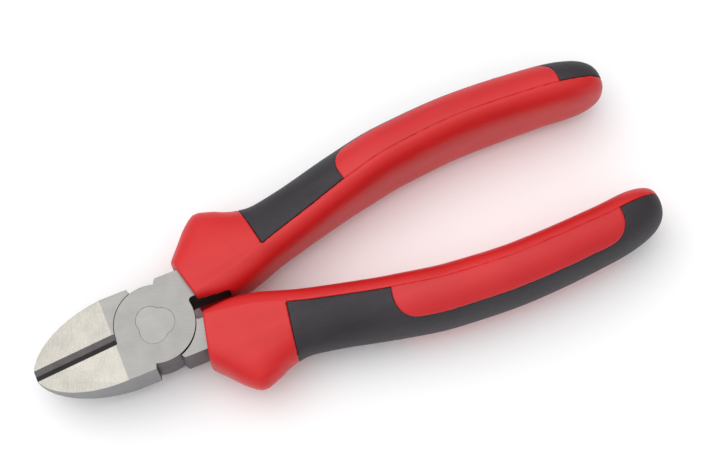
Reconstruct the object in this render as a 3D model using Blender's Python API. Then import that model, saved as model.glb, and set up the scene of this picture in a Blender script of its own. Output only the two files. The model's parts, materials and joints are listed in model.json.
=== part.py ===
"""Diagonal cutting pliers of the 160 mm class.

Two forged steel levers cross in a lap joint and turn on a riveted pin. The front lever carries the
lower jaw, the joint disc that is seen from above and the upper handle. The back lever carries the
upper jaw, the disc underneath and the lower handle. Each tang sits in a moulded grip: a hard red
body with a guard and an inner rail, a soft black overmould, and a red inlay on each face.

Frame: +X runs along the tool towards the handle ends, +Y points to the upper handle, +Z is up.
The origin is at the bottom centre of the whole tool. Shapes are drawn about the pivot in
millimetres and scaled to metres when their meshes are made.
"""

import math

import bmesh
import bpy
from mathutils import Vector

MM = 0.001

# Head, measured from the pivot.
HEAD_THICKNESS = 11.0
DISC_RADIUS = 10.2
DISC_CLEARANCE = 0.3
LAP_GAP = 0.3
CROTCH_ROUND = 1.0
JAW_ROOT = 10.8
JAW_HALF_WIDTH = 11.05
JAW_CURVE_START = 9.5
JAW_CURVE_LENGTH = 22.9
JAW_CURVE_POWER = 1.12
TIP_REACH = 32.2
TIP_THICKNESS = 2.4
SHOULDER_X = 3.55
SHOULDER_STEP = 0.4
EDGE_GAP = 0.3
V_HALF_WIDTH = 1.3
V_DEPTH = 0.8
RELIEF_LAND = 0.4
RELIEF_ANGLE = math.radians(32)
SECTION_MARGIN = 3.0

# Neck and tang of one lever, as seen on the upper handle.
NECK_START_X = 3.95
NECK_STEP = 0.8
NECK_OUTER_Y = 11.05
NECK_INNER_Y = 3.05
NECK_END_X = 21.0
TANG_HALF_HEIGHT = 3.6
TANG_STATIONS = ((17.0, 7.0, 3.2), (32.0, 10.8, 3.0), (46.0, 14.9, 2.6), (60.0, 18.2, 2.4),
                 (80.0, 20.8, 2.3), (102.0, 21.2, 2.0))

# Rivet.
SHANK_RADIUS = 3.0
BORE_CLEARANCE = 0.1
LOBE_RADIUS = 3.5
LOBE_OFFSET = 1.55
LOBE_TURN = math.radians(0)
LOBE_COUNT = 3
HEAD_DEPTH = 1.6
REAR_HEAD_RADIUS = 4.6
HEAD_SINK = 0.05

# Grip, as stations along the seam between rail and overmould: (distance from pivot, value).
GRIP_START = 11.8
GRIP_END = 128.8
FRONT_EDGE_ROUND = 0.5
END_ROUND_START = 114.4
END_ROUND_POWER = 2.85
SEAM_Y = ((12.0, 3.2), (24.0, 5.4), (34.0, 8.85), (46.0, 12.3), (58.0, 15.6), (72.0, 18.45),
          (90.0, 19.7), (112.0, 18.85), (122.0, 17.75), (130.0, 17.0))
INNER_DEPTH = ((12.0, 1.9), (20.0, 3.95), (46.0, 4.5), (72.0, 5.0), (100.0, 4.75), (130.0, 4.65))
OUTER_DEPTH = ((12.0, 11.3), (16.5, 14.7), (20.5, 17.55), (24.5, 19.1), (28.0, 17.1), (32.0, 13.35),
               (37.0, 11.0), (48.0, 10.1), (72.0, 9.45), (100.0, 9.0), (130.0, 7.9))
HALF_HEIGHT = ((12.0, 7.7), (24.0, 8.1), (46.0, 9.4), (68.0, 11.85), (92.0, 12.2), (130.0, 10.1))
SECTION_LEAN = ((12.0, 0.24), (32.0, 0.30), (56.0, 0.25), (80.0, 0.10), (104.0, -0.05), (130.0, -0.10))
OUTER_SQUARENESS = ((12.0, 3.2), (28.0, 2.2), (130.0, 2.1))
RAIL_SQUARENESS = ((12.0, 4.0), (24.0, 3.2), (40.0, 2.55), (130.0, 2.65))
RAIL_ARC_START = math.radians(29)
CORE_DEPTH = 2.2
CORE_RAIL_SHARE = 0.5
BAND_START = 32.0
BAND_SKEW = 0.12
INLAY_START = 57.0
INLAY_END = 117.2
INLAY_EDGE_SHARE = 0.79
INLAY_FRONT_ROUND = 7.0
INLAY_REAR_ROUND = 6.5
INLAY_ROUND_POWER = 2.6
INLAY_RAISE = 0.35
SLOT_END_X = 20.5
SLOT_TOP = 5.6
SLOT_CORNER = 1.6
GAP = 0.3

# Resolution of the round shapes.
ROUND_SEGMENTS = 64
HOLE_SEGMENTS = 32
JAW_CURVE_STEPS = 20
DISC_STEPS = 28
RAIL_STEPS = 10
OUTER_STEPS = 14
OUTLINE_STEPS = 28
SLOT_CORNER_STEPS = 5

# Placing: the tool stands on the ridges of its grips.
PIVOT_X = -(GRIP_END - TIP_REACH) / 2
PIVOT_Z = max(height for _, height in HALF_HEIGHT)

FAR = 60.0


def clear_scene():
    for obj in list(bpy.data.objects):
        bpy.data.objects.remove(obj, do_unlink=True)


def make_material(name, colour, roughness, metallic):
    material = bpy.data.materials.new(name)
    material.use_nodes = True
    shader = material.node_tree.nodes["Principled BSDF"]
    shader.inputs["Base Color"].default_value = (*colour, 1.0)
    shader.inputs["Roughness"].default_value = roughness
    shader.inputs["Metallic"].default_value = metallic
    material.diffuse_color = (*colour, 1.0)
    return material


def steel_material():
    return make_material("satin_steel", (0.52, 0.51, 0.49), 0.36, 1.0)


def rivet_material():
    return make_material("ground_rivet", (0.56, 0.55, 0.53), 0.32, 1.0)


def red_material():
    return make_material("red_hard_plastic", (0.70, 0.045, 0.048), 0.38, 0.0)


def inlay_material():
    return make_material("red_inlay_plastic", (0.72, 0.060, 0.062), 0.45, 0.0)


def black_material():
    return make_material("black_soft_plastic", (0.052, 0.050, 0.054), 0.62, 0.0)


# Solids as mesh objects, in millimetres about the pivot.

def object_from_bmesh(bm, name):
    bmesh.ops.recalc_face_normals(bm, faces=bm.faces)
    mesh = bpy.data.meshes.new(name)
    bm.to_mesh(mesh)
    bm.free()
    obj = bpy.data.objects.new(name, mesh)
    bpy.context.scene.collection.objects.link(obj)
    return obj


def prism(outline, low, high, name="prism"):
    """Extrude a closed plan outline from one height to another."""
    bm = bmesh.new()
    base = bm.faces.new([bm.verts.new((x, y, low)) for x, y in outline])
    top = bmesh.ops.extrude_face_region(bm, geom=[base])
    moved = [item for item in top["geom"] if isinstance(item, bmesh.types.BMVert)]
    bmesh.ops.translate(bm, verts=moved, vec=Vector((0, 0, high - low)))
    return object_from_bmesh(bm, name)


def loft(rings, name="loft"):
    """Skin equal rings of points into one closed solid with a flat face at each end."""
    bm = bmesh.new()
    rows = [[bm.verts.new(point) for point in ring] for ring in rings]
    count = len(rows[0])
    for row, following in zip(rows, rows[1:]):
        for k in range(count):
            after = (k + 1) % count
            bm.faces.new((row[k], row[after], following[after], following[k]))
    bm.faces.new(rows[0])
    bm.faces.new(rows[-1])
    return object_from_bmesh(bm, name)


def circle(radius, segments=ROUND_SEGMENTS):
    turns = [2 * math.pi * k / segments for k in range(segments)]
    return [(radius * math.cos(turn), radius * math.sin(turn)) for turn in turns]


def combine(target, tool, operation):
    """Apply one Boolean to target and drop the tool."""
    modifier = target.modifiers.new("combine", "BOOLEAN")
    modifier.operation = operation
    modifier.solver = "EXACT"
    modifier.object = tool
    graph = bpy.context.evaluated_depsgraph_get()
    result = bpy.data.meshes.new_from_object(target.evaluated_get(graph))
    target.modifiers.clear()
    target.data = result
    bpy.data.objects.remove(tool, do_unlink=True)
    return target


def mirrored_copy(source, name):
    """The same solid on the other side of the tool's centre plane."""
    bm = bmesh.new()
    bm.from_mesh(source.data)
    for vert in bm.verts:
        vert.co.y = -vert.co.y
    bmesh.ops.reverse_faces(bm, faces=bm.faces)
    return object_from_bmesh(bm, name)


def finish_piece(obj, name, material, parent):
    """Name a finished solid, bring it to metres and hang it on its pivot empty."""
    obj.name = name
    mesh = obj.data
    mesh.name = name
    for vert in mesh.vertices:
        vert.co *= MM
    mesh.materials.clear()
    mesh.materials.append(material)
    mesh.shade_smooth()
    mesh.set_sharp_from_angle(angle=math.radians(32))
    obj.parent = parent
    return obj


def pivot_empty(name):
    empty = bpy.data.objects.new(name, None)
    empty.location = Vector((PIVOT_X, 0.0, PIVOT_Z)) * MM
    bpy.context.scene.collection.objects.link(empty)
    return empty


# Levers.

def arc(radius, start, end, steps):
    turns = [start + (end - start) * k / steps for k in range(steps + 1)]
    return [(radius * math.cos(turn), radius * math.sin(turn)) for turn in turns]


def lever_outline(jaw_side):
    """Plan of a whole lever head: jaw, joint disc and neck, as one closed outline."""
    disc = DISC_RADIUS
    last = math.asin((TIP_REACH - JAW_CURVE_START) / JAW_CURVE_LENGTH)
    points = [(-TIP_REACH, EDGE_GAP / 2)]
    for k in range(JAW_CURVE_STEPS + 1):
        turn = last * (1 - k / JAW_CURVE_STEPS)
        x = -JAW_CURVE_START - JAW_CURVE_LENGTH * math.sin(turn)
        points.append((x, JAW_HALF_WIDTH * math.cos(turn) ** JAW_CURVE_POWER))
    points.append((-SHOULDER_X, JAW_HALF_WIDTH))
    step_in = math.acos(-(SHOULDER_X - SHOULDER_STEP) / disc)
    crotch = -math.asin((NECK_INNER_Y - CROTCH_ROUND) / disc)
    points += arc(disc, step_in, crotch, DISC_STEPS)
    corner = (disc * math.cos(crotch), -NECK_INNER_Y)
    points += [(corner[0] + 0.1 * CROTCH_ROUND, corner[1] + 0.5 * CROTCH_ROUND),
               (corner[0] + 0.4 * CROTCH_ROUND, corner[1] + 0.15 * CROTCH_ROUND),
               (corner[0] + CROTCH_ROUND, corner[1])]
    points += [(NECK_END_X, -NECK_INNER_Y), (NECK_END_X, -NECK_OUTER_Y), (NECK_START_X, -NECK_OUTER_Y)]
    notch = math.acos((NECK_START_X - NECK_STEP) / disc)
    points += arc(disc, -notch, -math.pi + math.asin(EDGE_GAP / 2 / disc), DISC_STEPS)
    points.append((-disc, EDGE_GAP / 2))
    return [(x, jaw_side * y) for x, y in points]


def bevel_height(x):
    """Half thickness of the jaws, which taper in a straight line from the root to the tip."""
    share = (-JAW_ROOT - x) / (TIP_REACH - JAW_ROOT)
    return HEAD_THICKNESS / 2 - share * (HEAD_THICKNESS - TIP_THICKNESS) / 2


def taper_cutter(face):
    """Wedge that grinds one face of the jaws down towards the tip."""
    far_x = -TIP_REACH - SECTION_MARGIN
    near_x = -JAW_ROOT + SECTION_MARGIN
    profile = [(near_x, face * bevel_height(near_x)), (far_x, face * bevel_height(far_x)),
               (far_x, face * FAR / 4), (near_x, face * FAR / 4)]
    rings = [[(x, y, z) for x, z in profile] for y in (-FAR / 2, FAR / 2)]
    return loft(rings, "taper")


def edge_cutter(side):
    """Grinds the cutting edge: a small V on the front and a wide relief on the back."""
    rings = []
    slope = V_DEPTH / V_HALF_WIDTH
    for x in (-DISC_RADIUS - 0.1, -TIP_REACH - SECTION_MARGIN):
        edge = bevel_height(x) - V_DEPTH
        low = -HEAD_THICKNESS
        relief = (edge - RELIEF_LAND - low) * math.tan(RELIEF_ANGLE)
        reach = V_HALF_WIDTH + SECTION_MARGIN
        section = [(-SECTION_MARGIN, edge), (0.0, edge), (reach, edge + slope * reach),
                   (-SECTION_MARGIN, edge + slope * reach)]
        back = [(-SECTION_MARGIN, edge - RELIEF_LAND), (0.0, edge - RELIEF_LAND), (relief, low),
                (-SECTION_MARGIN, low)]
        rings.append((x, section, back))
    start = EDGE_GAP / 2
    cutters = []
    for index in (1, 2):
        solid = [[(ring[0], side * (start + y), z) for y, z in ring[index]] for ring in rings]
        cutters.append(loft(solid, "edge"))
    return cutters


def tang_loft(side, grow=0.0):
    """Bar of the tang inside its grip, or the pocket around it when it is grown."""
    rings = []
    last = len(TANG_STATIONS) - 1
    for k, (x, y, half_width) in enumerate(TANG_STATIONS):
        wide = half_width + grow
        high = TANG_HALF_HEIGHT + grow
        end = x + (grow if k == last else 0.0)
        corners = ((-wide, -high), (wide, -high), (wide, high), (-wide, high))
        rings.append([(end, side * (y + across), up) for across, up in corners])
    return loft(rings, "tang")


def make_lever(name, jaw_side, lap):
    """One lever. jaw_side is the side of its jaw, lap is +1 for the disc on top."""
    half = HEAD_THICKNESS / 2
    lever = prism(lever_outline(jaw_side), -half, half, name)
    combine(lever, tang_loft(-jaw_side), "UNION")
    low, high = sorted((lap * LAP_GAP / 2, lap * -FAR))
    combine(lever, prism(circle(DISC_RADIUS + DISC_CLEARANCE), low, high), "DIFFERENCE")
    for face in (1, -1):
        combine(lever, taper_cutter(face), "DIFFERENCE")
    for cutter in edge_cutter(jaw_side):
        combine(lever, cutter, "DIFFERENCE")
    return lever


def lobe_outline(grow=0.0):
    """Union of three equal circles around the pivot, as one outline."""
    radius = LOBE_RADIUS + grow
    points = []
    for k in range(ROUND_SEGMENTS):
        turn = 2 * math.pi * k / ROUND_SEGMENTS
        step = 2 * math.pi / LOBE_COUNT
        off = (turn - LOBE_TURN + step / 2) % step - step / 2
        reach = LOBE_OFFSET * math.cos(off) + math.sqrt(radius ** 2 - (LOBE_OFFSET * math.sin(off)) ** 2)
        points.append((reach * math.cos(turn), reach * math.sin(turn)))
    return points


def make_rivet():
    """Lobed head keyed in the front lever, round shank and round head in the back lever."""
    top = HEAD_THICKNESS / 2 - HEAD_SINK
    rivet = prism(lobe_outline(), top - HEAD_DEPTH, top, "rivet")
    combine(rivet, prism(circle(SHANK_RADIUS, HOLE_SEGMENTS), -top + 0.2, top - 0.2), "UNION")
    combine(rivet, prism(circle(REAR_HEAD_RADIUS, HOLE_SEGMENTS), -top, -top + HEAD_DEPTH), "UNION")
    return rivet


def bore_front(lever):
    clearance = BORE_CLEARANCE
    seat = HEAD_THICKNESS / 2 - HEAD_SINK - HEAD_DEPTH - clearance
    combine(lever, prism(circle(SHANK_RADIUS + clearance, HOLE_SEGMENTS), -FAR, FAR), "DIFFERENCE")
    combine(lever, prism(lobe_outline(clearance), seat, FAR), "DIFFERENCE")


def bore_back(lever):
    clearance = BORE_CLEARANCE
    seat = -HEAD_THICKNESS / 2 + HEAD_SINK + HEAD_DEPTH + clearance
    combine(lever, prism(circle(SHANK_RADIUS + clearance, HOLE_SEGMENTS), -FAR, FAR), "DIFFERENCE")
    combine(lever, prism(circle(REAR_HEAD_RADIUS + clearance, HOLE_SEGMENTS), -FAR, seat), "DIFFERENCE")


# Grips.

def knot_slopes(knots):
    """Slopes that keep a smooth curve through the knots from overshooting them."""
    chords = [(b[1] - a[1]) / (b[0] - a[0]) for a, b in zip(knots, knots[1:])]
    slopes = [chords[0]]
    for before, after in zip(chords, chords[1:]):
        product = before * after
        slopes.append(2 * product / (before + after) if product > 0 else 0.0)
    return slopes + [chords[-1]]


def profile(knots, s):
    """Smooth value of a grip profile at distance s from the pivot."""
    s = min(max(s, knots[0][0]), knots[-1][0])
    slopes = knot_slopes(knots)
    k = next(i for i in range(len(knots) - 1) if s <= knots[i + 1][0])
    (left, low), (right, high) = knots[k], knots[k + 1]
    width = right - left
    t = (s - left) / width
    return (low * (1 + 2 * t) * (1 - t) ** 2 + high * t * t * (3 - 2 * t)
            + slopes[k] * width * t * (1 - t) ** 2 - slopes[k + 1] * width * t * t * (1 - t))


def end_rounding(s, inset):
    """Share of the full section left at distance s, falling to nothing at the grip's end."""
    span = GRIP_END - inset - END_ROUND_START
    t = min(max((s - END_ROUND_START) / span, 0.0), 1.0)
    return (1 - t ** END_ROUND_POWER) ** (1 / END_ROUND_POWER)


def plan_point(s, across):
    """Plan position of the point of section s that lies across from the seam."""
    return s - profile(SECTION_LEAN, s) * across, profile(SEAM_Y, s) + across


def front_rounding(s, start):
    """How far the skin is drawn in at the rounded front edge of the grip."""
    t = min((s - start) / FRONT_EDGE_ROUND, 1.0)
    return FRONT_EDGE_ROUND * (1 - math.sqrt(1 - (1 - t) ** 2))


def grip_stations(start, inset):
    """Section places: even along the handle, closer at the guard and over the rounded end."""
    places = [start, start + 0.08, start + 0.25, start + FRONT_EDGE_ROUND]
    guard = (14.0, 16.0, 18.0, 20.0, 22.0, 24.5, 27.0, 29.5, 32.0, 35.0, 38.0)
    places += [s for s in guard if s > start + 1.0]
    places += [42.0 + 6.0 * k for k in range(13)]
    span = GRIP_END - inset - END_ROUND_START
    turns = [math.radians(angle) for angle in (12, 26, 40, 52, 63, 73, 81, 87)]
    places += [END_ROUND_START + span * math.sin(turn) for turn in turns]
    return places


def squared(value, squareness):
    """Superellipse coordinate that keeps the sign of value."""
    return math.copysign(abs(value) ** (2 / squareness), value)


def grip_section(s, start, inset, raise_by, rail_share):
    """Closed ring of the grip's skin, from the seam on top, round the outside and back."""
    fade = end_rounding(s, inset)
    drawn = inset + front_rounding(s, start)
    high = (profile(HALF_HEIGHT, s) - drawn) * fade
    outer = (profile(OUTER_DEPTH, s) - drawn + raise_by) * fade
    inner = (profile(INNER_DEPTH, s) * rail_share - front_rounding(s, start)) * fade
    ring = []
    power = profile(OUTER_SQUARENESS, s)
    for k in range(OUTER_STEPS + 1):
        turn = math.pi * k / OUTER_STEPS
        x, y = plan_point(s, outer * squared(math.sin(turn), power))
        ring.append((x, y, high * squared(math.cos(turn), power)))
    power = profile(RAIL_SQUARENESS, s)
    first = RAIL_ARC_START
    for k in range(1, RAIL_STEPS):
        turn = math.pi - first - (math.pi - 2 * first) * k / RAIL_STEPS
        depth = (math.sin(turn) - math.sin(first)) / (1 - math.sin(first))
        x, y = plan_point(s, -inner * squared(depth, power))
        ring.append((x, y, high * squared(math.cos(turn) / math.cos(first), power)))
    return ring


def grip_solid(inset=0.0, raise_by=0.0, rail_share=1.0, start=GRIP_START):
    places = grip_stations(start, inset)
    return loft([grip_section(s, start, inset, raise_by, rail_share) for s in places], "grip")


def core_solid(grow=0.0):
    """Hard core that the overmould and the inlays lie on."""
    return grip_solid(CORE_DEPTH - grow, 0.0, CORE_RAIL_SHARE, BAND_START - 8.0)


def spread(start, end):
    return [start + (end - start) * k / OUTLINE_STEPS for k in range(OUTLINE_STEPS + 1)]


def overmould_prism(shift):
    """Everything outside the seam and behind the guard, shifted outwards for a gap."""
    start = BAND_START + shift
    seam = [plan_point(s, shift) for s in spread(start, GRIP_END + SECTION_MARGIN)]
    reach = FAR / 2
    far = [plan_point(GRIP_END + SECTION_MARGIN, reach), plan_point(start + BAND_SKEW * reach, reach)]
    return prism(seam + far, -FAR, FAR, "overmould_region")


def inlay_prism(seam_side, shrink, low, high):
    """Plan of the inlay: straight along the seam, rounded towards the outside."""
    start = INLAY_START + shrink
    end = INLAY_END - shrink
    seam = [plan_point(s, seam_side) for s in spread(start, end)]
    edge = []
    for k in range(OUTLINE_STEPS + 1):
        s = start + (end - start) * (1 - math.cos(math.pi * k / OUTLINE_STEPS)) / 2
        front = max(0.0, 1 - (s - start) / INLAY_FRONT_ROUND)
        rear = max(0.0, 1 - (end - s) / INLAY_REAR_ROUND)
        share = (1 - max(front, rear) ** INLAY_ROUND_POWER) ** (1 / INLAY_ROUND_POWER)
        full = INLAY_EDGE_SHARE * profile(OUTER_DEPTH, s) * end_rounding(s, 0.0) - shrink
        edge.append(plan_point(s, max(full * share, GAP / 2)))
    return prism(seam + edge[-2:0:-1], low, high, "inlay_region")


def slot_solid():
    """Slot in the inner wall, open at the front and rounded at its end."""
    corner = SLOT_CORNER
    profile_points = [(0.0, -SLOT_TOP), (0.0, SLOT_TOP)]
    for sign in (1, -1):
        for k in range(SLOT_CORNER_STEPS + 1):
            turn = math.pi / 2 * (1 - k / SLOT_CORNER_STEPS if sign > 0 else k / SLOT_CORNER_STEPS)
            x = SLOT_END_X - corner + corner * math.cos(turn)
            profile_points.append((x, sign * (SLOT_TOP - corner + corner * math.sin(turn))))
    rings = [[(x, y, z) for x, z in profile_points] for y in (NECK_INNER_Y + 1.0, -SECTION_MARGIN)]
    return loft(rings, "slot")


def tang_pocket():
    """Room for the neck and tang, open at the front and through the slot."""
    half = HEAD_THICKNESS / 2 + GAP
    inner = NECK_INNER_Y - GAP
    outer = NECK_OUTER_Y + GAP
    end = NECK_END_X + GAP
    neck = prism([(0.0, inner), (end, inner), (end, outer), (0.0, outer)], -half, half)
    return combine(combine(neck, tang_loft(1, GAP), "UNION"), slot_solid(), "UNION")


def make_grip_body():
    body = combine(grip_solid(), overmould_prism(-GAP / 2), "DIFFERENCE")
    combine(body, core_solid(), "UNION")
    return combine(body, tang_pocket(), "DIFFERENCE")


def make_overmould():
    cover = combine(grip_solid(), overmould_prism(GAP / 2), "INTERSECT")
    combine(cover, core_solid(GAP), "DIFFERENCE")
    return combine(cover, inlay_prism(-1.0, 0.0, -FAR, FAR), "DIFFERENCE")


def make_inlay(face):
    low, high = sorted((0.0, face * FAR))
    inlay = combine(grip_solid(raise_by=INLAY_RAISE), inlay_prism(GAP / 2, GAP, low, high), "INTERSECT")
    return combine(inlay, core_solid(GAP), "DIFFERENCE")


def build_grips(upper_parent, lower_parent):
    red = red_material()
    black = black_material()
    inlay_red = inlay_material()
    pieces = ((make_grip_body(), "grip_body", red),
              (make_overmould(), "grip_overmould", black),
              (make_inlay(1), "grip_inlay_front", inlay_red),
              (make_inlay(-1), "grip_inlay_back", inlay_red))
    for solid, name, material in pieces:
        twin = mirrored_copy(solid, "twin")
        finish_piece(solid, "upper_" + name, material, upper_parent)
        finish_piece(twin, "lower_" + name, material, lower_parent)


def build_levers(front_parent, back_parent):
    steel = steel_material()
    front = make_lever("front", -1, 1)
    bore_front(front)
    back = make_lever("back", 1, -1)
    bore_back(back)
    finish_piece(front, "front_lever", steel, front_parent)
    finish_piece(back, "back_lever", steel, back_parent)
    finish_piece(make_rivet(), "joint_rivet", rivet_material(), front_parent)


def main():
    clear_scene()
    front_half = pivot_empty("front_half_pivot")
    back_half = pivot_empty("back_half_pivot")
    build_levers(front_half, back_half)
    build_grips(front_half, back_half)


main()
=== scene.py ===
"""Looks of a pair of diagonal cutting pliers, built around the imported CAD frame."""

import json
import math

import bmesh
import bpy
from mathutils import Matrix, Vector


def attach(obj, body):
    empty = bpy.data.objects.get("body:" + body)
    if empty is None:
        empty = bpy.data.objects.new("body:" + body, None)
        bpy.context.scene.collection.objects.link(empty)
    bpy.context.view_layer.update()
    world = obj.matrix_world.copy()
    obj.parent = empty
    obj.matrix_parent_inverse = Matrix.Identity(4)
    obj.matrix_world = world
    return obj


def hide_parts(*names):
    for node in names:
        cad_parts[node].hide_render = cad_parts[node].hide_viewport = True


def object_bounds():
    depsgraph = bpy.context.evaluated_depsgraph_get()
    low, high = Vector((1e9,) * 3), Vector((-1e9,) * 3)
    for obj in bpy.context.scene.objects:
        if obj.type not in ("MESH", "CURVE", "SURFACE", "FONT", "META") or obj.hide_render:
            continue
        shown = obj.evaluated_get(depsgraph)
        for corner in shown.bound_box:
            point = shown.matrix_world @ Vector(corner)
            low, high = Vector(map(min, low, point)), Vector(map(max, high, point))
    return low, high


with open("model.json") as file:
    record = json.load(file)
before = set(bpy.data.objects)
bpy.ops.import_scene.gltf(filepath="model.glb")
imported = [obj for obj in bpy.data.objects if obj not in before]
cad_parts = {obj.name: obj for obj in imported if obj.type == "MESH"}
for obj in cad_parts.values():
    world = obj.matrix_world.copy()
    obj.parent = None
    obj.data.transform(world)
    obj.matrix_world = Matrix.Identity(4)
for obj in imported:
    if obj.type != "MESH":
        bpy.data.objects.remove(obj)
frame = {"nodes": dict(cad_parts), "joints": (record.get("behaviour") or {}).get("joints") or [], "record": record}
CAD_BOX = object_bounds()
MM = 0.001
JOINT = frame["joints"][0]
PIVOT = Vector(JOINT["pos_m"]) / MM

# Sizes are in millimetres about the pivot, unless a comment says otherwise.

# Grip skin. A table gives (distance from the pivot, value) along the seam of rail and overmould.
GRIP_START = 11.8
GRIP_END = 128.8
FRONT_EDGE_ROUND = 0.5
FRONT_EDGE_SHARES = (0.0, 0.06, 0.2, 0.45, 1.0)
FRONT_LEAD = 1.0
END_ROUND_START = 114.4
END_ROUND_POWER = 2.85
END_TURNS = range(4, 89, 4)
SEAM_Y = ((12.0, 3.2), (24.0, 5.4), (34.0, 8.85), (46.0, 12.3), (58.0, 15.6), (72.0, 18.45),
          (90.0, 19.7), (112.0, 18.85), (122.0, 17.75), (130.0, 17.0))
INNER_DEPTH = ((12.0, 1.9), (20.0, 3.95), (46.0, 4.5), (72.0, 5.0), (100.0, 4.75), (130.0, 4.65))
OUTER_DEPTH = ((12.0, 11.3), (16.5, 14.7), (20.5, 17.55), (24.5, 19.1), (28.0, 17.1), (32.0, 13.35),
               (37.0, 11.0), (48.0, 10.1), (72.0, 9.45), (100.0, 9.0), (130.0, 7.9))
HALF_HEIGHT = ((12.0, 7.7), (24.0, 8.1), (46.0, 9.4), (68.0, 11.85), (92.0, 12.2), (130.0, 10.1))
SECTION_LEAN = ((12.0, 0.24), (32.0, 0.30), (56.0, 0.25), (80.0, 0.10), (104.0, -0.05), (130.0, -0.10))
OUTER_SQUARENESS = ((12.0, 3.2), (28.0, 2.2), (130.0, 2.1))
RAIL_SQUARENESS = ((12.0, 4.0), (24.0, 3.4), (40.0, 3.1), (130.0, 3.1))
RAIL_ARC_START = math.radians(29)
RIDGE_RISE = 0.45
RIDGE_WIDTH = 1.6
RIDGE_END = 38.0
RIDGE_FADE = 12.0

# Core, overmould and inlays.
CORE_DEPTH = 2.2
CORE_RAIL_SHARE = 0.5
CORE_LEAD = 8.0
BAND_START = 32.0
BAND_SKEW = 0.12
OVERMOULD_OVERRUN = 3.0
INLAY_START = 57.0
INLAY_END = 117.2
INLAY_EDGE_SHARE = 0.79
INLAY_FRONT_ROUND = 7.0
INLAY_REAR_ROUND = 6.5
INLAY_ROUND_POWER = 2.6
INLAY_RAISE = 0.35
INLAY_LAP = 0.05
INLAY_WALL_LEAN = 0.9
INLAY_BLOCK_RISE = 8.0
INLAY_POCKET_OVERRUN = 1.0
SEAM_GAP = 0.06
SEAM_LAP = 0.2

# Slot and neck.
SLOT_END_X = 20.5
SLOT_TOP = 5.6
SLOT_CORNER = 1.6
SLOT_CORNER_STEPS = 8
SLOT_LAP = 1.0
SLOT_OUTSIDE_Y = -3.0
NECK_WALL_REACH = 5.0
NECK_OUTER_Y = 11.05
NECK_INNER_Y = 3.05
NECK_END_X = 21.0
POCKET_GAP = 0.3

# Head, with the gaps that the CAD solids keep and those that are shown.
HEAD_THICKNESS = 11.0
JAW_ROOT = 10.8
SHOULDER_X = 3.55
DISC_RADIUS = 10.2
BORE_REACH = 5.5
V_REACH = 1.8
DISC_CLEARANCE = 0.3
SHOWN_CLEARANCE = 0.1
CLEARANCE_MATCH = 0.04
HEEL_OPENING = 0.35
CAD_EDGE_GAP = 0.2
EDGE_CLOSING = 0.1
RIVET_SPREAD = 1.010

# Mesh steps of the grips.
INLAY_ROUNDS = 7
OUTER_STEPS = 44
RAIL_STEPS = 34
OUTLINE_STEPS = 56
STATION_STEP = 1.6
VOXEL = 0.28
FAR = 60.0

# Finish of the steel: how squarely a face looks up or sideways, from 0 to 1, then sizes and angles.
GROUND_SQUARE = 0.97
FACE_UP = 0.9
GROOVE_LEAST = 0.3
WALL_FACING = 0.5
SIDE_FACING = 0.2
SIDE_CLEARANCE = 0.5
SHOULDER_MARGIN = 0.2
MERGE_DISTANCE = 0.02
FLAT_ANGLE = math.radians(0.6)
SHARP_ANGLE = math.radians(25)
LEVER_EDGE_BREAK = 0.08
RIVET_EDGE_BREAK = 0.03
BORE_EDGE_SHARE = 0.3
# Of these looks, bevel carries a painted highlight and scale painted shade; the front lever's groove takes a copy
# with painted shade.
STEEL_LOOKS = ("ground", "bevel", "side", "oxide", "groove", "scale")
GROUND, BEVEL_PAINTED_HIGHLIGHT, SIDE, OXIDE, GROOVE, SCALE_AND_PAINTED_SHADE = range(len(STEEL_LOOKS))

# Camera: angles in degrees.
CAMERA_ELEVATION = 71.286
CAMERA_TURN = 15.800
CAMERA_ROLL = 6.740
CAMERA_DISTANCE = 551.0
CAMERA_AIM = (52.307, 18.683)
CAMERA_LENS = 110.0
SENSOR_WIDTH = 36.0

# Sky and lamp: directions as shares to the picture's right, away from the camera and up; colours linear.
SKY_TOWARDS = (-0.17, -0.03, 0.97)
SKY_DARK = (0.15, 0.155, 0.165)
SKY_MIDDLE = (0.80, 0.805, 0.82)
SKY_MIDDLE_AT = 0.70
SKY_BRIGHT = (2.20, 2.19, 2.16)
SKY_STRENGTH = 1.04

# Lengths from here on are in metres.
KEY_OFFSET = (-0.50, 0.42, 0.80)
KEY_SIZE = 0.75
KEY_POWER = 1.0
KEY_COLOUR = (1.0, 0.985, 0.96)
CLIP_START = 0.01
CLIP_END = 20.0
FLOOR_DROP = 0.0002
FLOOR_SIZE = 3.0


# Procedural materials.

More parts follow.
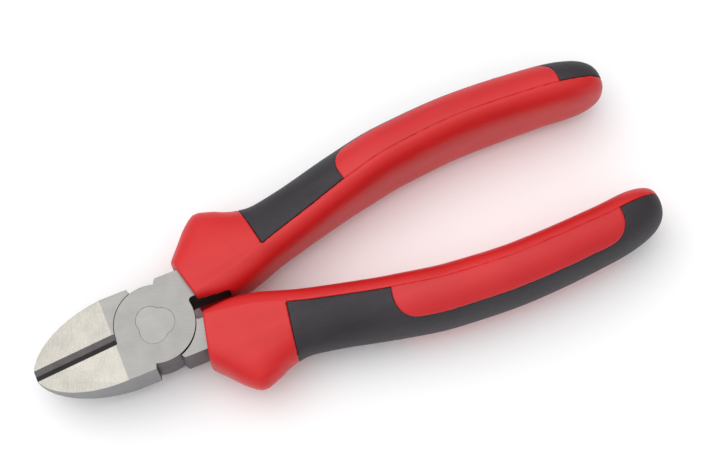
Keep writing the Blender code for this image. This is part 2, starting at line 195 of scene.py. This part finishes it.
class Nodes:
    """Shorthand for building one node tree. Scales and distances inside it are in metres."""

    RAMP_ENDS = (0.35, 0.65)
    SPAN_ENDS = (0.3, 0.7)

    def __init__(self, name):
        self.material = bpy.data.materials.new(name)
        self.material.use_nodes = True
        self.tree = self.material.node_tree
        self.shader = self.tree.nodes["Principled BSDF"]
        self.place = self.tree.nodes.new("ShaderNodeTexCoord").outputs["Object"]

    def add(self, kind, **settings):
        node = self.tree.nodes.new(kind)
        for key, value in settings.items():
            setattr(node, key, value)
        return node

    def link(self, source, target):
        self.tree.links.new(source, target)

    def stretched(self, scale, turn=0.0):
        mapping = self.add("ShaderNodeMapping", vector_type="TEXTURE")
        mapping.inputs["Rotation"].default_value = (0.0, 0.0, turn)
        mapping.inputs["Scale"].default_value = scale
        self.link(self.place, mapping.inputs["Vector"])
        return mapping.outputs["Vector"]

    def noise(self, vector, scale, detail, rough):
        node = self.add("ShaderNodeTexNoise")
        node.inputs["Scale"].default_value = scale
        node.inputs["Detail"].default_value = detail
        node.inputs["Roughness"].default_value = rough
        self.link(vector, node.inputs["Vector"])
        return node.outputs["Fac"]

    def ramp(self, factor, low, high):
        node = self.add("ShaderNodeValToRGB")
        for element, place, colour in zip(node.color_ramp.elements, self.RAMP_ENDS, (low, high)):
            element.position = place
            element.color = (*colour, 1.0)
        self.link(factor, node.inputs["Fac"])
        return node.outputs["Color"]

    def span(self, factor, low, high):
        node = self.add("ShaderNodeMapRange")
        node.inputs["From Min"].default_value = self.SPAN_ENDS[0]
        node.inputs["From Max"].default_value = self.SPAN_ENDS[1]
        node.inputs["To Min"].default_value = low
        node.inputs["To Max"].default_value = high
        self.link(factor, node.inputs["Value"])
        return node.outputs["Result"]

    def mix(self, factor, first, second):
        """Mix of two colours, whose sockets on this node are inputs 6 and 7 and output 2."""
        node = self.add("ShaderNodeMix", data_type="RGBA")
        node.inputs[0].default_value = factor
        self.link(first, node.inputs[6])
        self.link(second, node.inputs[7])
        return node.outputs[2]

    def bump(self, height, distance, strength, after=None):
        node = self.add("ShaderNodeBump")
        node.inputs["Distance"].default_value = distance
        node.inputs["Strength"].default_value = strength
        self.link(height, node.inputs["Height"])
        if after is not None:
            self.link(after, node.inputs["Normal"])
        return node.outputs["Normal"]

    def done(self, colour, roughness, normal, **fixed):
        self.link(colour, self.shader.inputs["Base Color"])
        self.link(roughness, self.shader.inputs["Roughness"])
        self.link(normal, self.shader.inputs["Normal"])
        for name, value in fixed.items():
            self.shader.inputs[name.replace("_", " ")].default_value = value
        return self.material


def brushed_steel(name, low, high, rough, stroke, turn=0.0, metallic=1.0, speckle=0.15):
    """Ground steel: long fine strokes, soft blotches, and roughness that follows the strokes."""
    n = Nodes(name)
    strokes = n.noise(n.stretched(stroke, turn), scale=1.0, detail=4.0, rough=0.6)
    blotch = n.noise(n.place, scale=260.0, detail=3.0, rough=0.5)
    grain = n.noise(n.place, scale=2600.0, detail=2.0, rough=0.6)
    colour = n.mix(0.35, n.ramp(strokes, low, high), n.ramp(blotch, low, high))
    colour = n.mix(speckle, colour, n.ramp(grain, low, high))
    roughness = n.span(strokes, rough - 0.06, rough + 0.08)
    normal = n.bump(strokes, distance=0.00002, strength=0.55)
    normal = n.bump(grain, distance=0.00001, strength=0.25, after=normal)
    return n.done(colour, roughness, normal, Metallic=metallic)


def moulded_plastic(name, low, high, rough, grain_scale, grain_depth, specular):
    """Moulded plastic: spark-eroded grain, faint flow marks and slow colour drift."""
    n = Nodes(name)
    drift = n.noise(n.place, scale=55.0, detail=3.0, rough=0.5)
    flow = n.noise(n.stretched((0.030, 0.0035, 0.0035)), scale=1.0, detail=3.0, rough=0.5)
    grain = n.noise(n.place, scale=grain_scale, detail=3.0, rough=0.6)
    colour = n.mix(0.4, n.ramp(drift, low, high), n.ramp(flow, low, high))
    roughness = n.span(grain, rough - 0.05, rough + 0.07)
    normal = n.bump(flow, distance=0.00012, strength=0.30)
    normal = n.bump(grain, distance=0.00003, strength=grain_depth, after=normal)
    return n.done(colour, roughness, normal, Specular_IOR_Level=specular)


def make_materials():
    along = (0.009, 0.00016, 0.00016)
    across = (0.00022, 0.0022, 0.0022)
    flat_turn = math.radians(-22.5)
    return {
        "ground": brushed_steel("ground_steel", low=(0.225, 0.220, 0.2125), high=(0.300, 0.2925, 0.2815),
                                rough=0.40, stroke=along, turn=flat_turn),
        # Bevel steel: cross-ground strokes, and a colour brighter and warmer than the flats that is a painted
        # highlight of the bevels.
        "bevel": brushed_steel("bevel_steel_painted_highlight", low=(0.29, 0.276, 0.252), high=(0.495, 0.471, 0.427),
                               rough=0.42, stroke=across, turn=flat_turn, speckle=0.3),
        "side": brushed_steel("side_steel", low=(0.2184, 0.2184, 0.2301), high=(0.2964, 0.2964, 0.3081),
                              rough=0.42, stroke=along),
        "oxide": brushed_steel("oxide_steel", low=(0.092, 0.08, 0.088), high=(0.152, 0.136, 0.144),
                               rough=0.50, stroke=along, metallic=0.8),
        "groove": brushed_steel("groove_steel", low=(0.120, 0.112, 0.114), high=(0.195, 0.179, 0.184),
                                rough=0.48, stroke=along, metallic=0.85),
        # Darker copy of the groove steel, for the front lever's groove: painted shade.
        "groove_painted_shade": brushed_steel("groove_painted_shade_steel", low=(0.029, 0.025, 0.026),
                                     high=(0.056, 0.049, 0.051), rough=0.55, stroke=along, metallic=0.7),
        # Near-black for the levers' inner walls that face each other by the joint: blackened steel, and painted
        # shade of the gap between the levers.
        "scale": brushed_steel("scaled_and_shaded_steel", low=(0.028, 0.024, 0.0256), high=(0.052, 0.0448, 0.0464),
                               rough=0.75, stroke=along, metallic=0.0),
        "rivet": brushed_steel("rivet_steel_finish", low=(0.234, 0.229, 0.221),
                               high=(0.310, 0.3025, 0.2915), rough=0.38, stroke=along),
        "red": moulded_plastic("red_moulded", low=(0.56, 0.0100, 0.0108), high=(0.64, 0.0160, 0.0170),
                               rough=0.42, grain_scale=2600.0, grain_depth=0.16, specular=0.38),
        "inlay": moulded_plastic("red_inlay_moulded", low=(0.53, 0.0120, 0.0155),
                                 high=(0.61, 0.0195, 0.0230), rough=0.46, grain_scale=2300.0,
                                 grain_depth=0.22, specular=0.40),
        "black": moulded_plastic("black_elastomer", low=(0.0180, 0.0150, 0.0192),
                                 high=(0.0310, 0.0268, 0.0330), rough=0.60, grain_scale=1700.0,
                                 grain_depth=0.55, specular=0.42),
    }


# Meshes in millimetres about the pivot.

def object_from_bmesh(bm, name):
    bmesh.ops.recalc_face_normals(bm, faces=bm.faces)
    mesh = bpy.data.meshes.new(name)
    bm.to_mesh(mesh)
    bm.free()
    obj = bpy.data.objects.new(name, mesh)
    bpy.context.scene.collection.objects.link(obj)
    return obj


def prism(outline, low, high):
    bm = bmesh.new()
    base = bm.faces.new([bm.verts.new((x, y, low)) for x, y in outline])
    top = bmesh.ops.extrude_face_region(bm, geom=[base])
    moved = [item for item in top["geom"] if isinstance(item, bmesh.types.BMVert)]
    bmesh.ops.translate(bm, verts=moved, vec=Vector((0, 0, high - low)))
    return object_from_bmesh(bm, "prism")


def loft(rings):
    bm = bmesh.new()
    rows = [[bm.verts.new(point) for point in ring] for ring in rings]
    count = len(rows[0])
    for row, following in zip(rows, rows[1:]):
        for k in range(count):
            after = (k + 1) % count
            bm.faces.new((row[k], row[after], following[after], following[k]))
    bm.faces.new(rows[0])
    bm.faces.new(rows[-1])
    return object_from_bmesh(bm, "loft")


def apply_modifiers(obj):
    graph = bpy.context.evaluated_depsgraph_get()
    result = bpy.data.meshes.new_from_object(obj.evaluated_get(graph))
    obj.modifiers.clear()
    obj.data = result
    return obj


def combine(target, tool, operation):
    modifier = target.modifiers.new("combine", "BOOLEAN")
    modifier.operation = operation
    modifier.solver = "EXACT"
    modifier.object = tool
    apply_modifiers(target)
    bpy.data.objects.remove(tool, do_unlink=True)
    return target


def soften(obj, rounds=2):
    """Even quad skin with small round edges, like a moulding."""
    remesh = obj.modifiers.new("skin", "REMESH")
    remesh.mode = "VOXEL"
    remesh.voxel_size = VOXEL
    smooth = obj.modifiers.new("round", "SMOOTH")
    smooth.factor = 0.5
    smooth.iterations = rounds
    return apply_modifiers(obj)


def knot_slopes(knots):
    chords = [(b[1] - a[1]) / (b[0] - a[0]) for a, b in zip(knots, knots[1:])]
    slopes = [chords[0]]
    for before, after in zip(chords, chords[1:]):
        product = before * after
        slopes.append(2 * product / (before + after) if product > 0 else 0.0)
    return slopes + [chords[-1]]


def profile(knots, s):
    s = min(max(s, knots[0][0]), knots[-1][0])
    slopes = knot_slopes(knots)
    k = next(i for i in range(len(knots) - 1) if s <= knots[i + 1][0])
    (left, low), (right, high) = knots[k], knots[k + 1]
    width = right - left
    t = (s - left) / width
    return (low * (1 + 2 * t) * (1 - t) ** 2 + high * t * t * (3 - 2 * t)
            + slopes[k] * width * t * (1 - t) ** 2 - slopes[k + 1] * width * t * t * (1 - t))


def end_rounding(s, inset):
    span = GRIP_END - inset - END_ROUND_START
    t = min(max((s - END_ROUND_START) / span, 0.0), 1.0)
    return (1 - t ** END_ROUND_POWER) ** (1 / END_ROUND_POWER)


def plan_point(s, across):
    return s - profile(SECTION_LEAN, s) * across, profile(SEAM_Y, s) + across


def front_rounding(s, start):
    t = min((s - start) / FRONT_EDGE_ROUND, 1.0)
    return FRONT_EDGE_ROUND * (1 - math.sqrt(1 - (1 - t) ** 2))


def grip_stations(start, inset):
    """Distances of the sections: close together at the front edge and round the rear end."""
    places = [start + FRONT_EDGE_ROUND * share for share in FRONT_EDGE_SHARES]
    first = start + FRONT_LEAD
    stretch = END_ROUND_START - start - FRONT_LEAD
    count = int(stretch / STATION_STEP)
    places += [first + stretch * k / count for k in range(count)]
    end = GRIP_END - inset - END_ROUND_START
    places += [END_ROUND_START + end * math.sin(math.radians(turn)) for turn in END_TURNS]
    return places


def squared(value, squareness):
    return math.copysign(abs(value) ** (2 / squareness), value)


def guard_ridge(s, across):
    """Rise of the soft ridge where the guard's face turns into the rail."""
    fade = min(max((RIDGE_END - s) / RIDGE_FADE, 0.0), 1.0)
    return RIDGE_RISE * fade * math.exp(-abs(across) / RIDGE_WIDTH)


def grip_section(s, start, inset, raise_by, rail_share):
    fade = end_rounding(s, inset)
    drawn = inset + front_rounding(s, start)
    high = (profile(HALF_HEIGHT, s) - drawn) * fade
    outer = (profile(OUTER_DEPTH, s) - drawn + raise_by) * fade
    inner = (profile(INNER_DEPTH, s) * rail_share - front_rounding(s, start)) * fade
    ring = []
    power = profile(OUTER_SQUARENESS, s)
    for k in range(OUTER_STEPS + 1):
        turn = math.pi * k / OUTER_STEPS
        across = outer * squared(math.sin(turn), power)
        top = high + guard_ridge(s, across)
        ring.append((*plan_point(s, across), top * squared(math.cos(turn), power)))
    power = profile(RAIL_SQUARENESS, s)
    first = RAIL_ARC_START
    for k in range(1, RAIL_STEPS):
        turn = math.pi - first - (math.pi - 2 * first) * k / RAIL_STEPS
        depth = (math.sin(turn) - math.sin(first)) / (1 - math.sin(first))
        across = -inner * squared(depth, power)
        top = high + guard_ridge(s, across)
        ring.append((*plan_point(s, across), top * squared(math.cos(turn) / math.cos(first), power)))
    return ring


def grip_solid(inset=0.0, raise_by=0.0, rail_share=1.0, start=GRIP_START):
    places = grip_stations(start, inset)
    return loft([grip_section(s, start, inset, raise_by, rail_share) for s in places])


def core_solid(grow=0.0):
    return grip_solid(CORE_DEPTH - grow, 0.0, CORE_RAIL_SHARE, BAND_START - CORE_LEAD)


def overmould_prism(shift):
    start = BAND_START + shift
    end = GRIP_END + OVERMOULD_OVERRUN
    along = [start + (end - start) * k / OUTLINE_STEPS for k in range(OUTLINE_STEPS + 1)]
    seam = [plan_point(s, shift) for s in along]
    reach = FAR / 2
    far = [plan_point(end, reach), plan_point(start + BAND_SKEW * reach, reach)]
    return prism(seam + far, -FAR, FAR)


def skin_height(s, share):
    """Height of the skin over a point at this share of the outer depth."""
    power = profile(OUTER_SQUARENESS, s)
    return profile(HALF_HEIGHT, s) * end_rounding(s, 0.0) * (1 - share ** power) ** (1 / power)


def inlay_outline(seam_side, shrink):
    """Points along the seam and back along the outer edge: (station, place across, share of the depth)."""
    start = INLAY_START + shrink
    end = INLAY_END - shrink
    seam = [start + (end - start) * k / OUTLINE_STEPS for k in range(OUTLINE_STEPS + 1)]
    points = [(s, seam_side, 0.0) for s in seam]
    for k in range(OUTLINE_STEPS - 1, 0, -1):
        s = start + (end - start) * (1 - math.cos(math.pi * k / OUTLINE_STEPS)) / 2
        front = max(0.0, 1 - (s - start) / INLAY_FRONT_ROUND)
        rear = max(0.0, 1 - (end - s) / INLAY_REAR_ROUND)
        rounding = (1 - max(front, rear) ** INLAY_ROUND_POWER) ** (1 / INLAY_ROUND_POWER)
        share = INLAY_EDGE_SHARE * rounding
        across = max(profile(OUTER_DEPTH, s) * end_rounding(s, 0.0) * share - shrink, SEAM_GAP)
        points.append((s, across, share))
    return points


def inlay_cutter(seam_side, shrink, face):
    """Block round one inlay, whose outer wall leans so that it meets the skin squarely."""
    outline = inlay_outline(seam_side, shrink)
    rings = []
    for down, up in ((1.0, 0.0), (0.0, 0.0), (0.0, INLAY_BLOCK_RISE)):
        ring = []
        for s, across, share in outline:
            height = skin_height(s, share)
            rise = up - down * height
            lean = INLAY_WALL_LEAN * share / INLAY_EDGE_SHARE * rise
            place = across if share == 0.0 else max(across + lean, SEAM_GAP)
            ring.append((*plan_point(s, place), face * (height + rise)))
        rings.append(ring)
    return loft(rings)


def slot_solid():
    """Slot in the inner wall, open at the front and rounded at its end."""
    points = [(0.0, -SLOT_TOP), (0.0, SLOT_TOP)]
    for sign in (1, -1):
        for k in range(SLOT_CORNER_STEPS + 1):
            turn = math.pi / 2 * (1 - k / SLOT_CORNER_STEPS if sign > 0 else k / SLOT_CORNER_STEPS)
            points.append((SLOT_END_X - SLOT_CORNER + SLOT_CORNER * math.cos(turn),
                           sign * (SLOT_TOP - SLOT_CORNER + SLOT_CORNER * math.sin(turn))))
    return loft([[(x, y, z) for x, z in points] for y in (NECK_INNER_Y + SLOT_LAP, SLOT_OUTSIDE_Y)])


def neck_pocket():
    """Room for the neck, open at the front and through the slot."""
    half = HEAD_THICKNESS / 2 + POCKET_GAP
    inner = NECK_INNER_Y - POCKET_GAP
    outer = NECK_OUTER_Y + POCKET_GAP
    end = NECK_END_X + POCKET_GAP
    neck = prism([(0.0, inner), (end, inner), (end, outer), (0.0, outer)], -half, half)
    return combine(neck, slot_solid(), "UNION")


def make_body():
    body = combine(grip_solid(), overmould_prism(-SEAM_GAP / 2), "DIFFERENCE")
    combine(body, core_solid(), "UNION")
    return soften(combine(body, neck_pocket(), "DIFFERENCE"))


def make_overmould():
    cover = combine(grip_solid(), overmould_prism(SEAM_GAP / 2), "INTERSECT")
    combine(cover, core_solid(SEAM_GAP), "DIFFERENCE")
    for face in (1, -1):
        combine(cover, inlay_cutter(-INLAY_POCKET_OVERRUN, 0.0, face), "DIFFERENCE")
    return soften(cover)


def make_inlay(face):
    block = inlay_cutter(-SEAM_LAP, -INLAY_LAP, face)
    inlay = combine(grip_solid(raise_by=INLAY_RAISE), block, "INTERSECT")
    return soften(combine(inlay, core_solid(SEAM_GAP), "DIFFERENCE"), INLAY_ROUNDS)


def settle(obj, name, node, material):
    """Bring a finished piece to the frame and let it stand for its CAD node."""
    obj.name = name
    obj.data.name = name
    obj.data.transform(Matrix.Scale(MM, 4) @ Matrix.Translation(PIVOT))
    obj.data.materials.clear()
    obj.data.materials.append(material)
    obj.data.shade_smooth()
    place_piece(obj, node)


def place_piece(obj, node):
    body = next(b for b, members in frame["record"]["behaviour"]["bodies"].items() if node in members)
    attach(obj, body)
    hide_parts(node)


def mirrored(source):
    copy = source.copy()
    copy.data = source.data.copy()
    bpy.context.scene.collection.objects.link(copy)
    copy.data.transform(Matrix.Scale(-1.0, 4, Vector((0.0, 1.0, 0.0))))
    copy.data.flip_normals()
    return copy


def build_grips(materials):
    pieces = ((make_body(), "grip_body", "red", "red_plastic"),
              (make_overmould(), "grip_overmould", "black", "black_elastomer"),
              (make_inlay(1), "grip_inlay_front", "inlay", "inlay_plastic"),
              (make_inlay(-1), "grip_inlay_back", "inlay", "inlay_plastic"))
    for solid, name, look, slot in pieces:
        twin = mirrored(solid)
        settle(solid, f"upper_{name}_skin", f"upper_{name}", materials[look])
        settle(twin, f"lower_{name}_skin", f"lower_{name}", materials[look])


# Steel, from the CAD solids with small broken edges.

def about_pivot(point):
    """A point of the frame, in millimetres about the pivot."""
    return point / MM - PIVOT


def steel_look(centre, normal):
    """Which finish a steel face has, painted highlight and painted shade included, from its place about the pivot
    and its direction.
    """
    facing = abs(normal.z)
    # Upward faces of the jaw bevels, which get a painted highlight.
    if centre.x < -JAW_ROOT and facing > GROUND_SQUARE:
        return BEVEL_PAINTED_HIGHLIGHT
    if centre.x < -DISC_RADIUS and GROOVE_LEAST < facing <= GROUND_SQUARE:
        return GROOVE
    if facing > FACE_UP:
        return GROUND
    # Inner walls of the levers facing each other by the joint: blackened steel with painted shade.
    if centre.x > 0 and abs(centre.y) < NECK_WALL_REACH and abs(normal.y) > WALL_FACING:
        return SCALE_AND_PAINTED_SHADE
    beyond_disc = centre.xy.length > DISC_RADIUS + SIDE_CLEARANCE
    if centre.x < -SHOULDER_X - SHOULDER_MARGIN and beyond_disc and abs(normal.y) > SIDE_FACING:
        return SIDE
    return OXIDE


def close_gaps(bm):
    """Edges meet and the disc runs close in its recess, with less air than solids may have.

    The recess opens a little towards the heel of the neck.
    """
    for vert in bm.verts:
        local = about_pivot(vert.co)
        if local.x < -DISC_RADIUS and abs(local.y) < CAD_EDGE_GAP:
            vert.co.y *= EDGE_CLOSING
        radius = local.xy.length
        if abs(radius - DISC_RADIUS - DISC_CLEARANCE) < CLEARANCE_MATCH:
            heel = max(0.0, -local.y / radius) if local.x > 0 else 0.0
            share = (DISC_RADIUS + SHOWN_CLEARANCE + HEEL_OPENING * heel ** 2) / radius
            vert.co.x = (PIVOT.x + local.x * share) * MM
            vert.co.y = (PIVOT.y + local.y * share) * MM


def on_cutting_edge(edge):
    """The jaws meet in keen edges, and the V above them is ground to crisp lines."""
    ends = [about_pivot(vert.co) for vert in edge.verts]
    return all(end.x < -DISC_RADIUS and abs(end.y) < V_REACH for end in ends)


def break_edges(bm, sharp, width):
    """Small rounded breaks along the rims, finer ones round the bore."""
    near_bore = [e for e in sharp if about_pivot(e.verts[0].co).xy.length < BORE_REACH]
    rims = [e for e in sharp if e not in near_bore]
    for edges, share in ((rims, 1.0), (near_bore, BORE_EDGE_SHARE)):
        if edges:
            bmesh.ops.bevel(bm, geom=edges, offset=width * share * MM, segments=2, profile=0.5,
                            affect="EDGES", clamp_overlap=False, material=-1)


def make_steel(node, name, looks, edge_break, spread=1.0):
    """Copy of a CAD solid with closed gaps, broken edges and a finish for each kind of face, some finishes with
    painted highlight or painted shade.
    """
    bm = bmesh.new()
    bm.from_mesh(frame["nodes"][node].data)
    bmesh.ops.scale(bm, verts=bm.verts, vec=(spread, spread, 1.0), space=Matrix.Translation(-PIVOT * MM))
    bmesh.ops.remove_doubles(bm, verts=bm.verts, dist=MERGE_DISTANCE * MM)
    close_gaps(bm)
    bmesh.ops.dissolve_limit(bm, angle_limit=FLAT_ANGLE, verts=bm.verts, edges=bm.edges)
    sharp = {e for e in bm.edges if len(e.link_faces) == 2 and e.calc_face_angle(0.0) > SHARP_ANGLE}
    for face in bm.faces:
        face.material_index = steel_look(about_pivot(face.calc_center_median()), face.normal)
    for edge in bm.edges:
        edge.smooth = not (edge in sharp and on_cutting_edge(edge))
    break_edges(bm, [e for e in bm.edges if e in sharp and not on_cutting_edge(e)], edge_break)
    for face in bm.faces:
        face.smooth = True
    obj = object_from_bmesh(bm, name)
    for look in looks:
        obj.data.materials.append(look)
    modifier = obj.modifiers.new("flats", "WEIGHTED_NORMAL")
    modifier.weight = 90
    modifier.keep_sharp = True
    place_piece(obj, node)


def build_steel(materials):
    finishes = [materials[look] for look in STEEL_LOOKS]
    # The front lever's groove takes the darker copy of the groove steel as painted shade.
    shaded = list(finishes)
    shaded[GROOVE] = materials["groove_painted_shade"]
    riveted = list(finishes)
    riveted[GROUND] = materials["rivet"]
    make_steel("front_lever", "front_lever_forging", shaded, LEVER_EDGE_BREAK)
    make_steel("back_lever", "back_lever_forging", finishes, LEVER_EDGE_BREAK)
    make_steel("joint_rivet", "joint_rivet_ground", riveted, RIVET_EDGE_BREAK, RIVET_SPREAD)


# Stage.

def camera_axes():
    """Right, up and back directions of the camera in the frame."""
    turn = Matrix.Rotation(math.radians(-CAMERA_TURN), 3, "Z")
    tilt = math.radians(CAMERA_ELEVATION)
    right = Vector((1.0, 0.0, 0.0))
    up = Vector((0.0, math.sin(tilt), math.cos(tilt)))
    back = Vector((0.0, -math.cos(tilt), math.sin(tilt)))
    roll = math.radians(CAMERA_ROLL)
    rolled_right = math.cos(roll) * right - math.sin(roll) * up
    rolled_up = math.sin(roll) * right + math.cos(roll) * up
    return turn @ rolled_right, turn @ rolled_up, turn @ back


def aim_point():
    turn = Matrix.Rotation(math.radians(-CAMERA_TURN), 3, "Z")
    return (turn @ Vector((*CAMERA_AIM, 0.0)) + PIVOT) * MM


def add_camera():
    right, up, back = camera_axes()
    data = bpy.data.cameras.new("camera")
    data.lens = CAMERA_LENS
    data.sensor_width = SENSOR_WIDTH
    data.clip_start = CLIP_START
    data.clip_end = CLIP_END
    camera = bpy.data.objects.new("camera", data)
    camera.matrix_world = Matrix.Translation(aim_point() + back * CAMERA_DISTANCE * MM) @ Matrix(
        (right, up, back)).transposed().to_4x4()
    bpy.context.scene.collection.objects.link(camera)
    bpy.context.scene.camera = camera


def studio_direction(across, away, height):
    """Direction in the frame from its shares to the picture's right, away from the camera and up."""
    right, up, _ = camera_axes()
    flat_up = Vector((up.x, up.y, 0.0)).normalized()
    flat_right = Vector((right.x, right.y, 0.0)).normalized()
    return flat_right * across + flat_up * away + Vector((0.0, 0.0, height))


def add_light(name, offset, size, power, colour):
    """Square soft light, offset from the aim point along image right, image up and frame up."""
    data = bpy.data.lights.new(name, "AREA")
    data.size = size
    data.energy = power
    data.color = colour
    light = bpy.data.objects.new(name, data)
    place = aim_point() + studio_direction(*offset)
    light.location = place
    light.rotation_mode = "QUATERNION"
    light.rotation_quaternion = (place - aim_point()).to_track_quat("Z", "Y")
    bpy.context.scene.collection.objects.link(light)


def floor_material():
    n = Nodes("pale_floor")
    cloud = n.noise(n.place, scale=9.0, detail=2.0, rough=0.5)
    grain = n.noise(n.place, scale=900.0, detail=2.0, rough=0.5)
    colour = n.ramp(cloud, low=(0.925, 0.93, 0.94), high=(0.955, 0.955, 0.96))
    return n.done(colour, n.span(cloud, 0.6, 0.7), n.bump(grain, distance=0.00002, strength=0.2))


def add_floor():
    bm = bmesh.new()
    bmesh.ops.create_grid(bm, x_segments=2, y_segments=2, size=FLOOR_SIZE)
    floor = object_from_bmesh(bm, "floor")
    floor.location = (0.0, 0.0, CAD_BOX[0].z - FLOOR_DROP)
    floor.data.materials.append(floor_material())


def set_world():
    world = bpy.data.worlds.new("studio")
    world.use_nodes = True
    tree = world.node_tree
    place = tree.nodes.new("ShaderNodeTexCoord")
    share = tree.nodes.new("ShaderNodeVectorMath")
    share.operation = "DOT_PRODUCT"
    share.inputs[1].default_value = studio_direction(*SKY_TOWARDS).normalized()
    ramp = tree.nodes.new("ShaderNodeValToRGB")
    ramp.color_ramp.interpolation = "EASE"
    ramp.color_ramp.elements[0].position = 0.0
    ramp.color_ramp.elements[0].color = (*SKY_DARK, 1.0)
    ramp.color_ramp.elements[1].position = 1.0
    ramp.color_ramp.elements[1].color = (*SKY_BRIGHT, 1.0)
    middle = ramp.color_ramp.elements.new(SKY_MIDDLE_AT)
    middle.color = (*SKY_MIDDLE, 1.0)
    tree.links.new(place.outputs["Generated"], share.inputs[0])
    tree.links.new(share.outputs["Value"], ramp.inputs["Fac"])
    tree.links.new(ramp.outputs["Color"], tree.nodes["Background"].inputs["Color"])
    tree.nodes["Background"].inputs["Strength"].default_value = SKY_STRENGTH
    bpy.context.scene.world = world
    bpy.context.scene.view_settings.view_transform = "Standard"
    bpy.context.scene.view_settings.look = "None"


materials = make_materials()
build_grips(materials)
build_steel(materials)
add_camera()
add_floor()
add_light("key", KEY_OFFSET, KEY_SIZE, KEY_POWER, KEY_COLOUR)
set_world()
